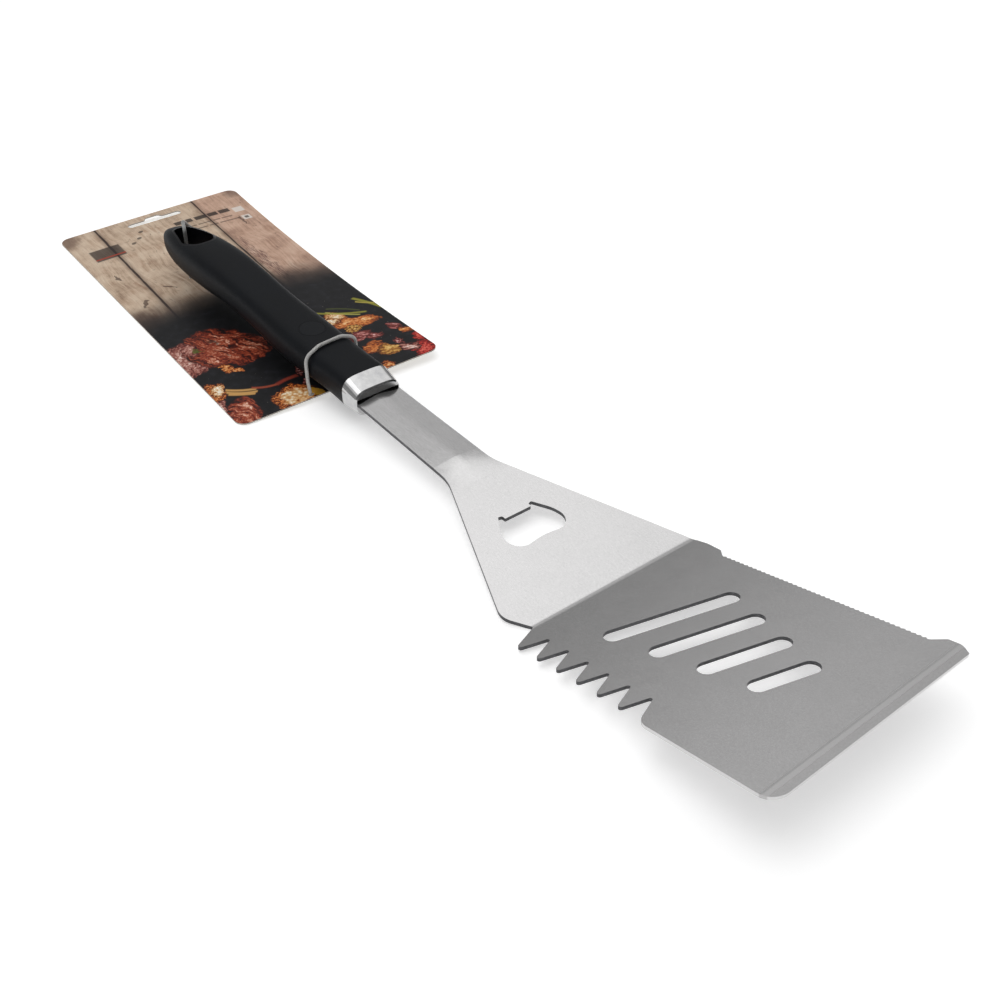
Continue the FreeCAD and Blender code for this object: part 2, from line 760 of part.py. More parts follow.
def euro_slot_corners():
    """Hanging slot of the card with its central hump towards the rear edge."""
    centre = -size("card_front_gap") - size("card_length") + size("euro_slot_margin")
    half_length = size("euro_slot_length") / 2
    half_height = size("euro_slot_height") / 2
    hump = size("euro_slot_hump_radius")
    shape = [
        (centre + half_height, -half_length, half_height * 0.98),
        (centre + half_height, half_length, half_height * 0.98),
        (centre - half_height, half_length, half_height * 0.98),
        (centre - half_height, hump, 1.0),
        (centre - half_height - 2.4, hump * 0.7, 2.0),
        (centre - half_height - 2.4, -hump * 0.7, 2.0),
        (centre - half_height, -hump, 1.0),
        (centre - half_height, -half_length, half_height * 0.98),
    ]
    corners = []
    for x, y, radius in shape:
        place = card_point(x, y)
        corners.append((place.x, place.y, radius))
    return corners


def make_card():
    surface = card_underside()
    sheet_solid = doc.addObject("Part::Feature", "card_sheet")
    sheet_solid.Shape = surface.Faces[0].extrude(Vector(0, 0, size("card_thickness")))
    outline = plan_prism("card_outline", card_corners(), -5.0, 20.0)
    trimmed = combine("Part::MultiCommon", "card_trimmed", [sheet_solid, outline])
    openings = [plan_prism("euro_slot", euro_slot_corners(), -5.0, 20.0)]
    for index, (x, y, alias) in enumerate(tie_holes()):
        openings.append(cylinder("tie_hole_%d" % index, alias, 25.0, Vector(x, y, -5.0),
                                 size("tie_hole_clearance")))
    return cut("backing_card", trimmed, combine("Part::MultiFuse", "card_openings", openings))


# ---------------------------------------------------------------- ties

LEG_HEIGHT = 1.0
LEG_BEND = 1.4
LEG_OVERLAP = 5.0
REAR_TIE_SIDE = 10.5


def front_tie_x():
    return -size("ferrule_length") - size("front_tie_distance")


def front_tie_reach():
    return size("grip_half_width") * 0.985 + size("front_tie_diameter") / 2 + 0.15


def front_tie_foot():
    """Half the distance between the two holes of the front tie."""
    return front_tie_reach() - 1.0


def rear_tie_places():
    """X of the leg in the hang hole and of the leg beside the end of the grip."""
    rear_end = -size("ferrule_length") - size("grip_length")
    return rear_end + size("rear_tie_distance"), rear_end + 4.0


def tie_holes():
    inside, beside = rear_tie_places()
    side = size("front_tie_diameter") / 2 + 0.1
    foot = front_tie_foot()
    return [
        (front_tie_x() + side, -foot, "front_tie_diameter"),
        (front_tie_x() - side, foot, "front_tie_diameter"),
        (inside, 0.0, "rear_tie_diameter"),
        (beside, REAR_TIE_SIDE, "rear_tie_diameter"),
    ]


def front_tie_corners():
    """Up one side of the grip, over the top and down the other, with both ends turned in."""
    x = front_tie_x()
    side = size("front_tie_diameter") / 2 + 0.1
    reach = front_tie_reach()
    foot = front_tie_foot()
    top = grip_top_at(x) + size("front_tie_diameter") / 2 + 0.15
    low = size("ferrule_middle_height") - 3.5
    return [
        ((x + side, LEG_OVERLAP, LEG_HEIGHT), 0),
        ((x + side, -foot, LEG_HEIGHT), LEG_BEND),
        ((x + side, -reach, low), 9.0),
        ((x + side, -reach, top - 3.2), 4.5),
        ((x + side * 0.5, -reach * 0.45, top), 8.0),
        ((x - side * 0.5, reach * 0.45, top), 8.0),
        ((x - side, reach, top - 3.2), 4.5),
        ((x - side, reach, low), 9.0),
        ((x - side, foot, LEG_HEIGHT), LEG_BEND),
        ((x - side, -LEG_OVERLAP, LEG_HEIGHT), 0),
    ]


def rear_tie_corners():
    """Up through the hang hole, over the end of the grip and down beside it."""
    inside, beside = rear_tie_places()
    radius = size("rear_tie_diameter") / 2
    hole_rear = -size("ferrule_length") - size("grip_length") + size("hang_hole_end_margin")
    rim = grip_top_at(hole_rear) + radius + 0.6
    fall = 0.86 * size("grip_half_height")
    side = REAR_TIE_SIDE
    return [
        ((inside + 11.0, 0.0, LEG_HEIGHT), 0),
        ((inside, 0.0, LEG_HEIGHT), LEG_BEND),
        ((inside, 0.0, rim), 2.2),
        ((inside - 8.6, 0.36 * side, rim - 0.2), 4.0),
        ((beside, 0.95 * side, rim - fall + 0.5), 4.0),
        ((beside, side, LEG_HEIGHT + 7.0), 4.0),
        ((beside, side, LEG_HEIGHT), LEG_BEND),
        ((beside + 12.0, 0.3 * side, LEG_HEIGHT), 0),
    ]


def swept(name, corners, diameter, beyond=0.0):
    """A round rod along straight runs and tangent arcs, longer at both ends by a given amount."""
    points = [Vector(*corner[0]) for corner in corners]
    start = points[0] + (points[0] - points[1]).normalize() * beyond
    end = points[-1] + (points[-1] - points[-2]).normalize() * beyond
    route = [(tuple(start), 0)] + corners[1:-1] + [(tuple(end), 0)]
    path = wire_of(rounded_path(route, closed=False))
    circle = Part.Circle(start, points[1] - points[0], diameter / 2)
    rod = doc.addObject("Part::Feature", name)
    rod.Shape = path.makePipeShell([Part.Wire([circle.toShape()])], True, False)
    expected = math.pi * diameter ** 2 / 4 * path.Length
    print("%s length %.1f volume share %.4f" % (name, path.Length, rod.Shape.Volume / expected))
    if abs(rod.Shape.Volume - expected) > 0.02 * expected:
        raise RuntimeError(name + " is not an even rod")
    return rod


def make_tie(name, corners, diameter):
    """The plastic cover, bored along its whole length, and the steel wire inside it."""
    whole = swept(name + "_blank", corners, diameter)
    bore = swept(name + "_bore", corners, size("tie_wire_diameter"), beyond=1.0)
    wire = swept(name + "_wire", corners, size("tie_wire_diameter"))
    return cut(name, whole, bore), wire


# ---------------------------------------------------------------- build, place, check, write

def build_parts():
    parts = {"steel_head": make_steel_head()}
    parts["handle_core"], parts["grip_sleeve"], parts["screw_cover"] = make_handle()
    parts["ferrule"] = make_ferrule()
    parts["tang_screw"] = make_tang_screw()
    parts["backing_card"] = make_card()
    parts["front_tie"], parts["front_tie_wire"] = make_tie(
        "front_tie", front_tie_corners(), size("front_tie_diameter"))
    parts["rear_tie"], parts["rear_tie_wire"] = make_tie(
        "rear_tie", rear_tie_corners(), size("rear_tie_diameter"))
    return parts


def centre_parts(parts):
    """Move every sub-part so that the origin lies under the middle of the whole box."""
    box = FreeCAD.BoundBox()
    for part in parts.values():
        box.add(part.Shape.optimalBoundingBox(False))
    shift = Vector(-box.Center.x, -box.Center.y, -box.ZMin)
    for node, part in parts.items():
        part.Label = node
        part.Placement = FreeCAD.Placement(shift + part.Placement.Base, part.Placement.Rotation)
    print("shift %.3f %.3f %.3f" % tuple(shift))
    print("size %.3f %.3f %.3f" % (box.XLength, box.YLength, box.ZLength))


def check_and_write(parts):
    for item in doc.Objects:
        if "Invalid" in item.State or "Error" in item.State:
            raise RuntimeError("failed object " + item.Name)
    for node, part in parts.items():
        shape = part.Shape
        if shape.isNull() or not shape.isValid() or shape.Volume <= 0:
            raise RuntimeError("bad shape " + node)
        print("%-16s solids %d volume %.1f" % (node, len(shape.Solids), shape.Volume))
    os.makedirs("parts", exist_ok=True)
    for node, part in parts.items():
        part.Shape.exportStep(os.path.join("parts", node + ".step"))


all_parts = build_parts()
doc.recompute()
centre_parts(all_parts)
doc.recompute()
check_and_write(all_parts)
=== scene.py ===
import math

import bpy
from mathutils import Matrix, Vector


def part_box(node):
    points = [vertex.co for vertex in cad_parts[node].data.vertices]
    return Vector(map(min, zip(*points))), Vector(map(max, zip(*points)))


# A grill spatula tied to its printed hanging card. The modelled frame gives every shape; this
# script gives each surface its finish, and sets the floor, the lights and the camera.
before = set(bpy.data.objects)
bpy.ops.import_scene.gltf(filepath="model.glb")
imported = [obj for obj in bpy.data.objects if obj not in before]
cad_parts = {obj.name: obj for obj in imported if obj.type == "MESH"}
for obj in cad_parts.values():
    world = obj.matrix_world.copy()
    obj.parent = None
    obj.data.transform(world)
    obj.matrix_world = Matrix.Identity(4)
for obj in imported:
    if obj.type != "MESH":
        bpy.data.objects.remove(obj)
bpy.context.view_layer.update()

MM = 0.001
ferrule_low, ferrule_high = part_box("ferrule")
TOOL_START = Vector((ferrule_high.x, (ferrule_low.y + ferrule_high.y) / 2, 0.0))
HEAD_FRONT = (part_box("steel_head")[1].x - TOOL_START.x) / MM
CARD_TURN = math.radians(4.05)
CARD_REAR = 242.5
FRONT_SLANT = 0.03
FRONT_CORNER = 45.2
SHOULDER_MIDDLE = 4.3
LAST_TOOTH_END = 205.0


# ---------------------------------------------------------------- node helpers

class Value:
    """A number or a vector inside one finish. Sums and products of values add Math nodes."""

    def __init__(self, finish, socket):
        self.finish = finish
        self.socket = socket

    def math(self, operation, *others):
        terms = dict(enumerate((self,) + others))
        return self.finish.node("Math", {"operation": operation}, terms)

    def flipped(self, operation, first):
        return self.finish.node("Math", {"operation": operation}, {0: first, 1: self})

    def __add__(self, other):
        return self.math("ADD", other)

    def __sub__(self, other):
        return self.math("SUBTRACT", other)

    def __mul__(self, other):
        return self.math("MULTIPLY", other)

    def __radd__(self, other):
        return self.math("ADD", other)

    def __rmul__(self, other):
        return self.math("MULTIPLY", other)

    def __rsub__(self, other):
        return self.flipped("SUBTRACT", other)

    def __abs__(self):
        return self.math("ABSOLUTE")

    def least(self, other):
        return self.math("MINIMUM", other)

    def most(self, other):
        return self.math("MAXIMUM", other)

    def rise(self, start, end, low=0.0, high=1.0):
        """Smoothly from low to high as this goes from start to end; start may be above end."""
        settings = {"interpolation_type": "SMOOTHSTEP"}
        sockets = {"Value": self, "From Min": start, "From Max": end, "To Min": low, "To Max": high}
        return self.finish.node("MapRange", settings, sockets)

    def ramp(self, stops):
        """Colour by this number: stops are (place, colour) with colours as the eye sees them."""
        return self.finish.node("ValToRGB", {"stops": stops}, {0: self})


def seen(red, green, blue):
    """A colour given as 0 to 255 values on a screen, turned into the light that it stands for."""
    return tuple(((level / 255 + 0.055) / 1.055) ** 2.4 if level > 10 else level / 255 / 12.92
                 for level in (red, green, blue)) + (1.0,)


class NodeTree:
    """An empty node tree of a material or a world, and one way to add nodes to it."""

    def __init__(self, owner):
        owner.use_nodes = True
        self.tree = owner.node_tree
        self.tree.nodes.clear()

    def node(self, kind, settings=None, sockets=None, output=0):
        made = self.tree.nodes.new("ShaderNode" + kind)
        for name, value in (settings or {}).items():
            if name == "stops":
                self.set_stops(made.color_ramp, value)
            else:
                setattr(made, name, value)
        for name, value in (sockets or {}).items():
            if isinstance(value, Value):
                self.tree.links.new(value.socket, made.inputs[name])
            else:
                made.inputs[name].default_value = value
        return Value(self, made.outputs[output])

    def set_stops(self, ramp, stops):
        while len(ramp.elements) < len(stops):
            ramp.elements.new(1.0)
        for element, (place, colour) in zip(ramp.elements, stops):
            element.position = place
            element.color = colour

    def shown_by(self, output, shader):
        """Ends the tree: its output node shows this shader."""
        self.tree.links.new(shader.socket, self.tree.nodes.new("ShaderNode" + output).inputs["Surface"])


class Finish(NodeTree):
    """One material of the spatula, with short ways to add the nodes that most finishes need."""

    def __init__(self, name):
        self.material = bpy.data.materials.new(name)
        super().__init__(self.material)

    def place(self):
        """X, Y and Z of the surface point in mm: from the ferrule front, across, and above the table."""
        point = self.node("TexCoord", output=3)
        split = [self.node("SeparateXYZ", sockets={0: point}, output=index) for index in range(3)]
        return [(axis - start) * (1 / MM) for axis, start in zip(split, TOOL_START)]

    def facing(self, axis=2):
        """Part of the surface's own direction; for axis 2 it is 1 on top, 0 on a side, -1 underneath."""
        direction = self.node("TexCoord", output=1)
        return self.node("SeparateXYZ", sockets={0: direction}, output=axis)

    def point(self, x, y, z=0.0):
        return self.node("CombineXYZ", sockets={0: x, 1: y, 2: z})

    def noise(self, point, scale=1.0, detail=2.0, roughness=0.5):
        sockets = {"Vector": point, "Scale": scale, "Detail": detail, "Roughness": roughness}
        return self.node("TexNoise", sockets=sockets)

    def cells(self, point, scale, feature="F1"):
        return self.node("TexVoronoi", {"feature": feature}, {"Vector": point, "Scale": scale})

    def mix(self, first, second, share):
        return self.node("Mix", {"data_type": "RGBA"}, {0: share, 6: first, 7: second}, output=2)

    def bump(self, height, strength, distance=MM):
        sockets = {"Strength": strength, "Distance": distance, "Height": height}
        return self.node("Bump", sockets=sockets)

    def shade(self, varying, steady=None):
        """The surface shader: values that vary over the surface, and numbers that do not."""
        shader = self.node("BsdfPrincipled", sockets={**(steady or {}), **varying})
        self.shown_by("OutputMaterial", shader)
        return self.material


# ---------------------------------------------------------------- metal finishes

def brushed_sheet_steel():
    """Rolled stainless sheet: fine straight grain along the tool and faint mottling.

    The sheared walls of slots, teeth and opener are rougher than the faces and carry painted shade:
    a near-black colour that stands in for the shade they sit in. The front edge and the plain side
    behind it are ground, and get no painted shade.
    """
    finish = Finish("brushed sheet steel")
    x, y, z = finish.place()
    grain = finish.noise(finish.point(x * 0.05, y * 4.0, z * 4.0), 1.0, 4.0, 0.6)
    fine = finish.noise(finish.point(x * 0.6, y * 9.0, z * 9.0), 1.0, 2.0, 0.5)
    mottle = finish.noise(finish.point(x, y, z), 0.09, 3.0, 0.55)
    speck = finish.noise(finish.point(x, y, z), 1.6, 2.0, 0.5)
    tone = grain * 0.36 + fine * 0.30 + mottle * 0.12 + speck * 0.22
    colour = tone.ramp([(0.30, (0.50, 0.496, 0.495, 1)), (0.52, (0.60, 0.594, 0.594, 1)),
                        (0.72, (0.69, 0.683, 0.683, 1))])
    roughness = 0.15 + grain * 0.08 + mottle * 0.03
    height = grain * 0.5 + fine * 0.3 + speck * 0.1
    top_or_under = abs(finish.facing()).rise(0.45, 0.70)
    # Painted shade: the sheared walls get a near-black colour in place of the shade around them; they are
    # also rougher.
    sheared = finish.noise(finish.point(x * 0.7, y * 0.7, z * 6.0), 1.0, 3.0)
    cut_wall_painted_shade = sheared.ramp([(0.35, (0.055, 0.055, 0.058, 1)), (0.65, (0.13, 0.13, 0.135, 1))])
    to_front = HEAD_FRONT - x - (y + FRONT_CORNER) * FRONT_SLANT
    ground_side = y.rise(-38.0, -41.0) * x.rise(LAST_TOOTH_END - 2.0, LAST_TOOTH_END + 2.0)
    ground = to_front.rise(7.0, 6.0).most(ground_side)
    rough_and_painted_dark_walls = (1 - top_or_under) * (1 - ground)
    # The stripe just behind the front edge is ground rougher, and its colour is painted darker to dim the
    # highlight along it.
    shoulder_rough_and_painted_dark = abs(to_front - SHOULDER_MIDDLE).rise(1.4, 0.9)
    colour = finish.mix(colour, cut_wall_painted_shade, rough_and_painted_dark_walls)
    colour = finish.mix(colour, (0.44, 0.435, 0.435, 1), shoulder_rough_and_painted_dark * 0.8)
    roughness = roughness + rough_and_painted_dark_walls * 0.25 + shoulder_rough_and_painted_dark * 0.22
    return finish.shade({"Base Color": colour, "Roughness": roughness,
                         "Normal": finish.bump(height, 0.22, 0.00004)}, {"Metallic": 1.0})


def polished_chrome():
    """Chromed collar: slight haze and hairlines, with a duller moulded front face."""
    finish = Finish("polished chrome")
    x, y, z = finish.place()
    haze = finish.noise(finish.point(x, y, z), 0.35, 3.0)
    hair = finish.noise(finish.point(x * 0.4, y * 7.0, z * 7.0), 1.0, 2.0)
    colour = haze.ramp([(0.3, (0.48, 0.48, 0.485, 1)), (0.7, (0.58, 0.578, 0.575, 1))])
    front_face = finish.facing(axis=0).rise(0.75, 0.92)
    roughness = 0.045 + haze * 0.05 + hair.rise(0.62, 0.75) * 0.06 + front_face * 0.26
    return finish.shade({"Base Color": colour, "Roughness": roughness,
                         "Normal": finish.bump(haze + hair * 0.06, 0.12, 0.0003)}, {"Metallic": 1.0})


def plated_steel(name):
    """Zinc plated or drawn steel: dull, with a fine uneven skin."""
    finish = Finish(name)
    x, y, z = finish.place()
    drawn = finish.noise(finish.point(x, y, z), 2.2, 3.0)
    colour = drawn.ramp([(0.3, (0.45, 0.45, 0.46, 1)), (0.7, (0.62, 0.62, 0.63, 1))])
    return finish.shade({"Base Color": colour, "Roughness": 0.24 + drawn * 0.2,
                         "Normal": finish.bump(drawn, 0.2, 0.00005)}, {"Metallic": 1.0})


# ---------------------------------------------------------------- grip and tie finishes

GRIP_BLACKS = ((0.0022, 0.0031, 0.0046, 1), (0.0038, 0.0050, 0.0072, 1))
COVER_BLACKS = ((0.0032, 0.0042, 0.0060, 1), (0.0050, 0.0064, 0.0088, 1))


def soft_touch_rubber(name, tint, base_roughness):
    """Matte moulded grip: fine pebbled skin, faint hand marks, a slightly worn sheen."""
    finish = Finish(name)
    x, y, z = finish.place()
    here = finish.point(x, y, z)
    pebble = finish.cells(here, 3.2)
    skin = finish.noise(here, 5.0, 2.0)
    marks = finish.noise(here, 0.06, 4.0, 0.6)
    lint = finish.noise(here, 1.1, 1.0).rise(0.78, 0.84)
    dark, light = tint
    colour = marks.ramp([(0.35, dark), (0.65, light)])
    colour = finish.mix(colour, (0.03, 0.03, 0.032, 1), lint * 0.5)
    roughness = base_roughness + marks * 0.12 - pebble * 0.03
    height = pebble * 0.7 + skin * 0.3
    return finish.shade({"Base Color": colour, "Roughness": roughness,
                         "Normal": finish.bump(height, 0.3, 0.00008)},
                        {"Specular IOR Level": 0.14})


def black_core_plastic():
    """Hard black moulding of the core: satin, with faint flow marks and dust."""
    finish = Finish("black core plastic")
    x, y, z = finish.place()
    here = finish.point(x, y, z)
    flow = finish.noise(here, 0.12, 3.0)
    dust = finish.noise(here, 2.4, 2.0)
    colour = flow.ramp([(0.3, (0.003, 0.003, 0.004, 1)), (0.7, (0.006, 0.006, 0.008, 1))])
    roughness = 0.30 + flow * 0.10 + dust.rise(0.62, 0.8) * 0.15
    return finish.shade({"Base Color": colour, "Roughness": roughness,
                         "Normal": finish.bump(flow, 0.15, 0.0004)}, {"Specular IOR Level": 0.15})


def tie_plastic(name, pale, dull):
    """Extruded cover of a wire tie: slight lengthwise ripple and handling marks."""
    finish = Finish(name)
    x, y, z = finish.place()
    here = finish.point(x, y, z)
    ripple = finish.noise(here, 1.3, 3.0)
    dirt = finish.noise(here, 0.25, 4.0, 0.65)
    colour = (ripple * 0.4 + dirt * 0.6).ramp([(0.35, dull), (0.62, pale)])
    return finish.shade({"Base Color": colour, "Roughness": 0.34 + dirt * 0.2,
                         "Normal": finish.bump(ripple, 0.35, 0.00015)}, {"Specular IOR Level": 0.5})


# ---------------------------------------------------------------- printed card

class Print:
    """The picture printed on the card, built up in layers over card places in mm.

    Along is 0 at the rear edge with the hanging slot; across is 0 in the middle and negative
    towards the toothed side of the blade.
    """

    def __init__(self, finish):
        self.finish = finish
        x, y, self.height = finish.place()
        cos, sin = math.cos(CARD_TURN), math.sin(CARD_TURN)
        self.along = x * cos - y * sin + CARD_REAR
        self.across = x * sin + y * cos
        self.flat = finish.point(self.along, self.across)
        broad = finish.noise(self.flat, 0.11, 2.0) - 0.5
        close = finish.noise(finish.point(self.across, self.along), 0.32, 3.0) - 0.5
        self.rough_along = self.along + broad * 9.0 + close * 3.5
        self.rough_across = self.across + broad * -7.0 + close * 4.5
        self.picture = None

    def lay(self, colour, mask):
        self.picture = self.finish.mix(self.picture, colour, mask)

    def streaks(self, turn, fine, detail=4.0, stretch=6.0):
        """Noise drawn out along a direction: meat fibres, skins and wood grain."""
        cos, sin = math.cos(math.radians(turn)), math.sin(math.radians(turn))
        lengthwise = self.rough_along * cos + self.rough_across * sin
        sideways = self.rough_across * cos - self.rough_along * sin
        return self.finish.noise(self.finish.point(lengthwise * (fine / stretch), sideways * fine),
                                 1.0, detail, 0.62)

    def spread(self, centre, radii, turn=0.0, neat=False):
        """Square of the distance from a centre, 1 on the edge of a turned oval."""
        cos, sin = math.cos(math.radians(turn)), math.sin(math.radians(turn))
        along = (self.along if neat else self.rough_along) - centre[0]
        across = (self.across if neat else self.rough_across) - centre[1]
        first = (along * cos + across * sin) * (1 / radii[0])
        second = (across * cos - along * sin) * (1 / radii[1])
        return first * first + second * second

    def piece(self, texture, stops, centre, radii, turn=0.0, crown=0.32):
        """One piece of food: an uneven oval, lighter in its middle and darker at its rim."""
        spread = self.spread(centre, radii, turn)
        tone = (texture - 0.5) * 2.2 + (1 - spread) * crown + (0.485 - crown * 0.62)
        self.lay(tone.ramp(stops), spread.rise(1.08, 0.86))

    def stroke(self, colour, start, end, width, soft=0.5, bend=0.0):
        """A thin stem or line from start to end, with a soft edge and an optional bow."""
        run = (end[0] - start[0], end[1] - start[1])
        length = math.hypot(*run)
        ahead = (run[0] / length, run[1] / length)
        along = self.along - start[0]
        across = self.across - start[1]
        travel = (along * ahead[0] + across * ahead[1]) * (1 / length)
        aside = across * ahead[0] - along * ahead[1] + travel * (1 - travel) * (4 * bend)
        near = abs(aside).rise(width / 2 + soft, max(width / 2 - soft, 0.0))
        within = travel.rise(-0.02, 0.03) * travel.rise(1.02, 0.97)
        self.lay(colour, near * within)

    def bar(self, colour, along, across, strength=1.0, soft=0.18):
        """A plain printed rectangle with slightly soft edges."""
        inside = self.along.rise(along[0] - soft, along[0] + soft)
        inside = inside * self.along.rise(along[1] + soft, along[1] - soft)
        inside = inside * self.across.rise(across[0] - soft, across[0] + soft)
        inside = inside * self.across.rise(across[1] + soft, across[1] - soft)
        self.lay(colour, inside * strength)


MEAT = [(0.18, seen(20, 7, 6)), (0.36, seen(84, 24, 14)), (0.48, seen(140, 54, 32)),
        (0.60, seen(170, 82, 54)), (0.74, seen(222, 160, 132)), (0.88, seen(250, 228, 212))]
FAT = [(0.20, seen(40, 14, 14)), (0.40, seen(124, 58, 50)), (0.55, seen(178, 118, 104)),
       (0.72, seen(226, 186, 172)), (0.86, seen(250, 240, 232))]
ROAST = [(0.16, seen(30, 12, 6)), (0.34, seen(120, 52, 18)), (0.50, seen(196, 104, 42)),
         (0.66, seen(228, 152, 84)), (0.84, seen(250, 214, 160))]
CREAM = [(0.16, seen(60, 26, 14)), (0.34, seen(170, 96, 44)), (0.52, seen(222, 172, 112)),
         (0.72, seen(246, 228, 196)), (0.88, seen(254, 250, 240))]
SHALLOT = [(0.18, seen(20, 8, 10)), (0.38, seen(86, 30, 28)), (0.54, seen(140, 62, 56)),
           (0.70, seen(206, 138, 132)), (0.86, seen(246, 214, 210))]
PEPPER = [(0.16, seen(50, 6, 6)), (0.38, seen(140, 22, 20)), (0.58, seen(190, 44, 36)),
          (0.78, seen(228, 108, 92))]
GOLD = [(0.18, seen(34, 16, 8)), (0.38, seen(122, 68, 26)), (0.54, seen(182, 124, 52)),
        (0.72, seen(232, 188, 104)), (0.88, seen(250, 232, 176))]
TABLE_BLACK = [(0.30, seen(8, 8, 11)), (0.55, seen(17, 17, 21)), (0.75, seen(32, 32, 38))]
PLANK_GAP = seen(46, 32, 30)
PRINT_INK = seen(34, 26, 24)
STALK_GREEN = seen(142, 138, 48)
DARK_STALK = seen(72, 78, 34)


def wooden_boards(art):
    """Weathered planks along the card, with grain, stains, cracks and dark gaps."""
    finish = art.finish
    warp = finish.noise(art.flat, 0.022, 2.0) - 0.5
    grain = finish.noise(finish.point(art.along * 0.030, art.across * 0.55 + warp * 7.0), 1.0, 5.0, 0.66)
    fibre = finish.noise(finish.point(art.along * 0.16, art.across * 2.8 + warp * 10.0), 1.0, 3.0, 0.6)
    stain = finish.noise(art.flat, 0.06, 5.0, 0.62)
    tone = grain * 0.34 + fibre * 0.18 + stain * 0.48
    planks = tone.ramp([(0.31, seen(112, 82, 64)), (0.41, seen(170, 144, 122)),
                        (0.51, seen(208, 184, 160)), (0.66, seen(230, 212, 190))])
    third_plank = art.across.rise(22.8, 24.2)
    planks = finish.mix(planks, tone.ramp([(0.32, seen(132, 98, 82)), (0.50, seen(204, 168, 146)),
                                           (0.68, seen(232, 204, 182))]), third_plank)
    warm = finish.noise(art.flat, 0.07, 3.0).rise(0.50, 0.66) * 0.4
    planks = finish.mix(planks, seen(164, 124, 98), warm * grain.rise(0.62, 0.40))
    art.picture = planks
    old_crack = finish.noise(finish.point(art.along * 0.10, art.across * 0.9 + warp * 26.0), 1.0, 6.0, 0.7)
    art.lay(seen(92, 66, 54), old_crack.rise(0.385, 0.33) * 0.75)
    mould = finish.noise(art.flat, 0.16, 5.0, 0.7).rise(0.60, 0.72)
    art.lay(seen(108, 84, 70), mould * 0.5)
    streak = art.spread((86.0, 27.5), (46.0, 3.6), 1.0).rise(1.0, 0.1) * fibre.rise(0.60, 0.42)
    art.lay(seen(106, 72, 66), streak * 0.85)
    for centre, radii, turn in (((82.0, -24.0), (4.2, 0.9), 35.0), ((58.0, -41.0), (5.0, 0.7), 10.0),
                                ((90.0, -40.0), (3.4, 1.3), -20.0), ((36.0, 38.0), (5.5, 0.9), 8.0)):
        art.lay(seen(66, 44, 36), art.spread(centre, radii, turn).rise(1.2, 0.4) * 0.75)
    for centre, radii in (((0.0, -50.0), (17.0, 11.0)), ((112.0, -48.0), (20.0, 8.0)),
                          ((0.0, 50.0), (12.0, 9.0))):
        art.lay(seen(104, 78, 66), art.spread(centre, radii).rise(1.1, 0.2) * 0.7)
    wander = (grain - 0.5) * 1.4
    for start, slant, width in ((-31.0, -0.022, 0.85), (24.6, -0.022, 0.7)):
        aside = abs(art.across - start - art.along * slant + wander)
        art.lay(seen(118, 94, 78), aside.rise(3.2, 0.4) * 0.5)
        art.lay(PLANK_GAP, aside.rise(width, width * 0.35) * 0.95)


def dark_table(art):
    """The boards darken into a black table top about half way along the card."""
    finish = art.finish
    smoke = finish.noise(art.flat, 0.05, 3.0) - 0.5
    start = art.along + smoke * 16.0 - abs(art.across + 8.0) * 0.12
    art.lay(seen(58, 46, 42), start.rise(82.0, 106.0) * 0.85)
    art.lay(finish.noise(art.flat, 0.25, 5.0).ramp(TABLE_BLACK), start.rise(93.0, 116.0))


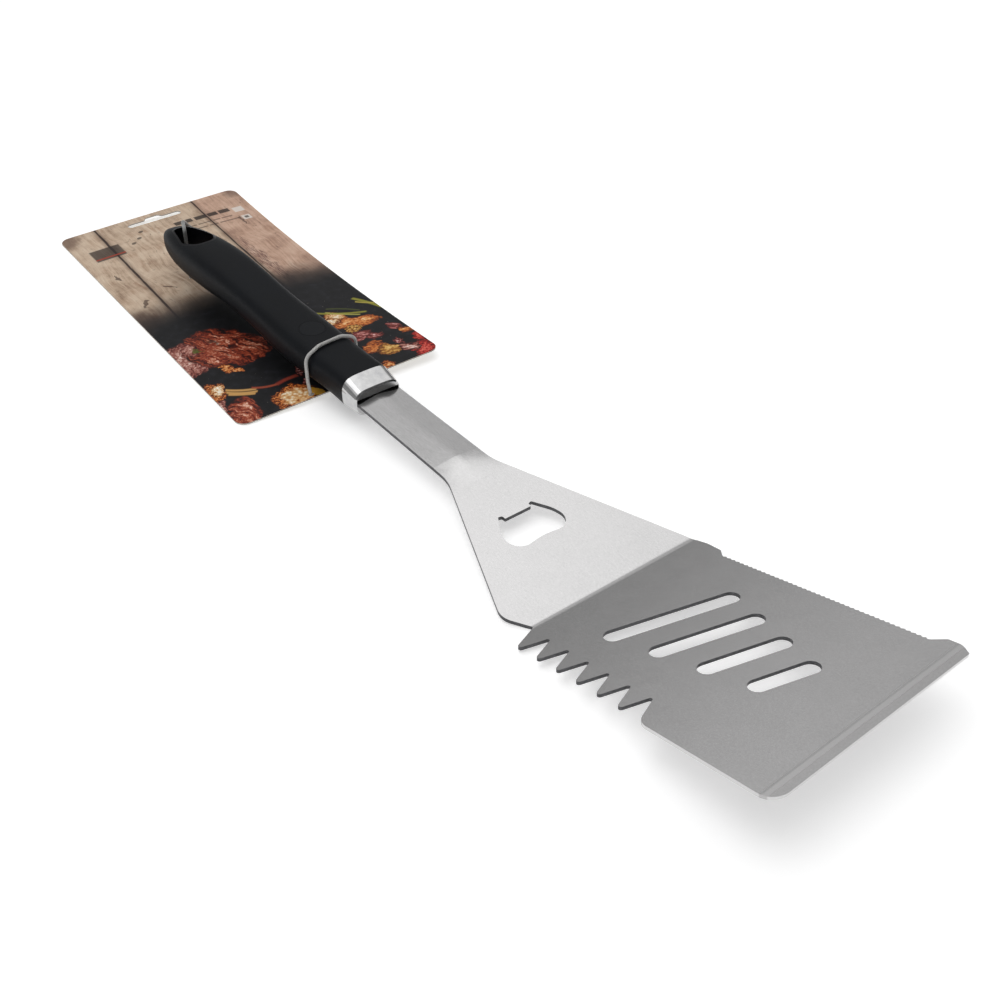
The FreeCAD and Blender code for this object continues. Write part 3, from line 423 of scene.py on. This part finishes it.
def grilled_food(art):
    """Steaks, roasted vegetables, cut corn, garlic and herbs laid out on the black table."""
    finish = art.finish
    fibres = art.streaks(28.0, 0.62)
    cross_fibres = art.streaks(-38.0, 0.62)
    crumbs = finish.noise(finish.point(art.across, art.along), 0.75, 4.0, 0.7)
    skins = art.streaks(75.0, 0.5, 3.0, 4.0)
    kernels = finish.cells(art.flat, 0.62)
    meat = fibres * 0.65 + crumbs * 0.35
    gristle = cross_fibres * 0.5 + crumbs * 0.5

    art.piece(gristle, FAT, (150.0, -47.0), (15.5, 8.5), 0.0, 0.26)
    art.piece(meat, MEAT, (150.0, -29.0), (19.5, 16.5), 28.0, 0.30)
    art.piece(meat, MEAT, (157.0, -18.0), (11.0, 8.5), 20.0, 0.26)
    art.piece(gristle, FAT, (143.5, -42.0), (5.5, 3.5), 10.0)
    char = art.streaks(24.0, 0.36, 2.0, 9.0)
    steak_face = art.spread((151.0, -28.0), (19.0, 18.0), 28.0).rise(1.0, 0.7)
    art.lay(seen(24, 9, 7), char.rise(0.44, 0.36) * steak_face * 0.85)
    herb = art.spread((146.0, -39.5), (2.6, 1.0), 40.0).rise(1.2, 0.5)
    art.lay(seen(88, 96, 34), herb * crumbs.rise(0.4, 0.55))
    art.piece(crumbs, ROAST, (167.5, -34.5), (5.2, 2.6), 25.0)
    art.piece(crumbs, ROAST, (172.0, -31.0), (3.4, 1.8), 10.0)

    art.piece(crumbs, ROAST, (182.0, -47.5), (7.5, 4.5), 0.0)
    art.piece(crumbs, CREAM, (181.5, -46.0), (4.2, 3.4), 0.0, 0.6)
    for start, end, bend in (((183.0, -43.0), (190.5, -31.5), 0.8), ((185.0, -43.5), (192.5, -32.0), 1.0),
                             ((187.0, -43.5), (193.5, -33.5), 0.4)):
        art.stroke(seen(206, 158, 92), start, end, 1.5, 0.6, bend)
    art.stroke(seen(150, 66, 44), (188.5, -33.0), (193.0, -22.0), 1.5, 0.5, 1.0)
    art.stroke(seen(134, 52, 38), (193.0, -23.0), (192.0, -12.0), 2.2, 0.7, -0.6)
    art.piece(crumbs, SHALLOT, (189.0, -9.5), (5.0, 2.0), -15.0)
    art.piece(crumbs, SHALLOT, (198.0, -11.0), (3.2, 1.6), -50.0, 0.5)

    art.piece(meat, MEAT, (205.0, -45.0), (12.5, 8.0), -10.0, 0.26)
    art.piece(crumbs, FAT, (193.0, -49.0), (5.0, 2.4), 0.0)

    art.piece(crumbs, ROAST, (206.0, -20.5), (9.0, 10.5), 0.0, 0.30)
    corn_face = art.spread((206.5, -20.0), (6.6, 7.6)).rise(1.1, 0.8)
    art.lay((kernels * -0.55 + crumbs * 0.45 + 0.62).ramp(CREAM), corn_face)
    art.lay(seen(214, 158, 52), art.spread((208.0, -11.5), (5.5, 2.4), 20.0).rise(1.1, 0.6) * 0.9)

    art.piece(gristle, CREAM, (156.5, 27.0), (6.2, 5.2), 20.0, 0.40)
    art.piece(crumbs, CREAM, (160.5, 22.5), (4.2, 3.4), 0.0, 0.55)
    art.piece(skins * 0.5 + crumbs * 0.5, ROAST, (166.5, 33.5), (5.6, 12.0), -8.0, 0.42)
    art.piece(crumbs, GOLD, (171.5, 28.0), (3.4, 4.5), 0.0, 0.30)
    for start, end, width, bend, colour in (((148.0, 21.0), (160.0, 42.0), 1.5, 1.2, STALK_GREEN),
                                            ((147.0, 27.0), (157.0, 40.0), 1.0, -0.8, DARK_STALK),
                                            ((150.0, 25.0), (161.0, 38.0), 0.9, 0.6, seen(176, 170, 84)),
                                            ((144.0, 43.0), (160.0, 50.5), 2.0, -0.6, STALK_GREEN),
                                            ((148.0, 42.5), (154.0, 50.0), 1.2, 0.5, seen(176, 160, 70))):
        art.stroke(colour, start, end, width, 0.5, bend)
    shells = skins * 0.6 + crumbs * 0.4
    art.piece(shells, SHALLOT, (178.5, 27.5), (4.5, 6.0), 15.0, 0.24)
    art.piece(shells, SHALLOT, (183.5, 33.0), (4.0, 4.2), -25.0, 0.40)
    art.piece(shells, SHALLOT, (180.0, 44.5), (3.4, 4.0), 0.0, 0.24)
    art.piece(shells, ROAST, (187.0, 47.5), (4.2, 3.0), 20.0, 0.24)
    art.piece(shells, ROAST, (191.5, 27.0), (4.4, 5.2), 30.0, 0.26)
    art.piece(shells, GOLD, (198.5, 31.5), (5.4, 6.2), -30.0, 0.36)
    art.piece(crumbs, SHALLOT, (193.0, 40.0), (3.2, 3.0), 0.0, 0.26)
    art.piece(crumbs, PEPPER, (207.5, 44.5), (8.0, 6.2), -10.0, 0.44)
    art.piece(shells, FAT, (201.5, 40.5), (5.6, 5.0), 15.0, 0.62)
    art.piece(crumbs, PEPPER, (196.0, 49.0), (4.5, 2.6), 0.0, 0.36)
    art.piece(crumbs, ROAST, (209.5, 24.5), (4.2, 3.2), 0.0, 0.42)
    sparkle = finish.noise(art.flat, 1.15, 2.0).rise(0.73, 0.79)
    art.lay(seen(250, 236, 224), sparkle * art.along.rise(134.0, 140.0) * crumbs.rise(0.46, 0.58) * 0.85)


def plain_print_marks(art):
    """Plain bars where a card carries its heading and small print, and one plain label."""
    for low, high in ((6.0, 11.5), (12.5, 16.0), (17.5, 24.0), (25.0, 30.5), (31.5, 37.5)):
        art.bar(PRINT_INK, (18.6, 22.6), (low, high), 0.88)
    for row, blocks in ((27.2, ((10.0, 15.5), (16.5, 24.0), (25.0, 29.0), (30.0, 36.0))),
                        (31.6, ((12.0, 20.0), (21.0, 26.0), (27.0, 38.0)))):
        for low, high in blocks:
            art.bar(PRINT_INK, (row, row + 1.1), (low, high), 0.62)
    art.bar(seen(232, 224, 216), (20.0, 25.5), (39.2, 44.8), 0.85)
    art.bar(seen(232, 224, 216), (30.6, 35.6), (39.6, 44.4), 0.85)
    art.bar(PRINT_INK, (31.8, 34.2), (41.0, 43.2), 0.8)
    art.bar(seen(44, 34, 31), (23.0, 36.0), (-43.0, -27.0), 0.84, 0.5)
    art.bar(seen(170, 64, 46), (33.0, 34.4), (-43.0, -27.0), 0.85)
    for centre in ((17.5, -12.0), (24.0, -15.5), (27.8, -20.0)):
        art.lay(PRINT_INK, art.spread(centre, (1.1, 1.5), 30.0, neat=True).rise(1.2, 0.7) * 0.75)


def printed_board():
    """Coated board: the picture on top, plain grey board below, pale fibres on the cut edge."""
    finish = Finish("printed coated board")
    art = Print(finish)
    wooden_boards(art)
    dark_table(art)
    grilled_food(art)
    plain_print_marks(art)
    facing = finish.facing()
    top = facing.rise(0.55, 0.75)
    under = facing.rise(-0.55, -0.75)
    fibre = finish.noise(finish.point(art.along, art.across, art.height), 2.0, 4.0, 0.7)
    cut_edge = fibre.ramp([(0.35, seen(158, 150, 142)), (0.65, seen(206, 200, 192))])
    plain_board = fibre.ramp([(0.35, seen(196, 192, 184)), (0.65, seen(222, 219, 212))])
    colour = finish.mix(cut_edge, plain_board, under)
    colour = finish.mix(colour, art.picture, top)
    waves = finish.noise(finish.point(art.along, art.across, art.height), 0.35, 2.0)
    handling = finish.noise(art.flat, 0.08, 4.0)
    roughness = 0.82 - top * (0.46 - handling * 0.18)
    height = waves * 0.7 + fibre * (0.3 - top * 0.24)
    return finish.shade({"Base Color": colour, "Roughness": roughness, "Coat Weight": top * 0.06,
                         "Normal": finish.bump(height, 0.25, 0.00012)},
                        {"Specular IOR Level": 0.18, "Coat Roughness": 0.22})


# ---------------------------------------------------------------- finishes on the frame

def finish_node(node, material):
    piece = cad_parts[node]
    piece.data.materials.clear()
    piece.data.materials.append(material)


wire_steel = plated_steel("drawn tie wire")
finish_node("steel_head", brushed_sheet_steel())
finish_node("ferrule", polished_chrome())
finish_node("tang_screw", plated_steel("zinc plated screw"))
finish_node("front_tie_wire", wire_steel)
finish_node("rear_tie_wire", wire_steel)
finish_node("grip_sleeve", soft_touch_rubber("soft touch grip", GRIP_BLACKS, 0.46))
finish_node("screw_cover", soft_touch_rubber("satin screw cover", COVER_BLACKS, 0.40))
finish_node("handle_core", black_core_plastic())
finish_node("front_tie", tie_plastic("light grey tie cover", seen(196, 195, 192), seen(160, 159, 157)))
finish_node("rear_tie", tie_plastic("grey tie cover", seen(158, 158, 156), seen(118, 118, 117)))
finish_node("backing_card", printed_board())


# ---------------------------------------------------------------- floor, light and camera

def studio_floor():
    """A wide pale table that glows a little, so that its shadows stay soft."""
    finish = Finish("pale studio floor")
    x, y, z = finish.place()
    cloud = finish.noise(finish.point(x, y), 0.004, 3.0)
    grit = finish.noise(finish.point(x, y), 0.8, 2.0)
    colour = (cloud * 0.7 + grit * 0.3).ramp([(0.3, (0.90, 0.90, 0.905, 1)), (0.7, (0.93, 0.93, 0.93, 1))])
    material = finish.shade({"Base Color": colour, "Roughness": 0.62 + cloud * 0.1},
                            {"Specular IOR Level": 0.1, "Emission Color": (1.0, 1.0, 1.0, 1.0),
                             "Emission Strength": 0.36})
    half = 12.0
    gap_below_steel = 0.0001
    mesh = bpy.data.meshes.new("floor")
    mesh.from_pydata([(-half, -half, 0), (half, -half, 0), (half, half, 0), (-half, half, 0)], [],
                     [(0, 1, 2, 3)])
    mesh.materials.append(material)
    floor = bpy.data.objects.new("floor", mesh)
    bpy.context.scene.collection.objects.link(floor)
    floor.location.z = -gap_below_steel


def studio_sky():
    """Soft surrounding light: a bright band high up, dim near the table and on the dark side.

    Levels are (height, brightness), where a height is the direction's Z, lower on the near side.
    """
    world = bpy.data.worlds.new("studio")
    sky = NodeTree(world)
    direction = sky.node("TexCoord")
    right, away, height = (sky.node("SeparateXYZ", sockets={0: direction}, output=index)
                           for index in range(3))
    levels = [(0.0, 0.28), (0.35, 0.20), (0.425, 0.27), (0.475, 0.41), (0.565, 0.62), (0.615, 0.34),
              (0.655, 0.64), (0.70, 1.26), (0.80, 1.31), (0.845, 1.24), (0.89, 0.80), (1.0, 0.76)]
    leaning = height + (away.most(0.3) - 0.5) * 0.6
    band = leaning.ramp([(place, (level, level, level, 1.0)) for place, level in levels])
    dark_side = math.radians(39.0)
    towards_dark = right * math.cos(dark_side) + away * math.sin(dark_side)
    share = (1 - towards_dark * 1.05).most(0.09).least(1.40)
    light = sky.node("Background", sockets={"Color": band, "Strength": share})
    sky.shown_by("OutputWorld", light)
    bpy.context.scene.world = world


def soft_box(name, place, target, size, power):
    lamp = bpy.data.lights.new(name, "AREA")
    lamp.shape = "RECTANGLE"
    lamp.size, lamp.size_y = size
    lamp.energy = power
    holder = bpy.data.objects.new(name, lamp)
    holder.location = place
    holder.rotation_euler = (Vector(target) - Vector(place)).to_track_quat("-Z", "Y").to_euler()
    bpy.context.scene.collection.objects.link(holder)


def camera_on_tripod(place, around, above, roll, lens):
    """Camera looking down at the spatula from the right front, with level and roll in degrees."""
    around, above, roll = (math.radians(angle) for angle in (around, above, roll))
    back = Vector((math.cos(around) * math.cos(above), math.sin(around) * math.cos(above), math.sin(above)))
    right = Vector((-math.sin(around), math.cos(around), 0.0))
    up = back.cross(right)
    level_right = right * math.cos(roll) + up * math.sin(roll)
    level_up = up * math.cos(roll) - right * math.sin(roll)
    camera = bpy.data.cameras.new("camera")
    camera.lens = lens
    camera.sensor_width = 36.0
    camera.clip_start = 0.01
    holder = bpy.data.objects.new("camera", camera)
    turn = Matrix((level_right, level_up, back)).transposed().to_4x4()
    holder.matrix_world = Matrix.Translation(place) @ turn
    bpy.context.scene.collection.objects.link(holder)
    bpy.context.scene.camera = holder


studio_floor()
studio_sky()
soft_box("overhead", place=(0.15, -0.30, 1.8), target=(0.0, 0.0, 0.0), size=(1.2, 1.0), power=3.0)
camera_on_tripod(place=(0.40132, -0.27269, 0.32162), around=-38.822, above=36.902, roll=-0.10, lens=49.237)
bpy.context.scene.view_settings.view_transform = "Standard"
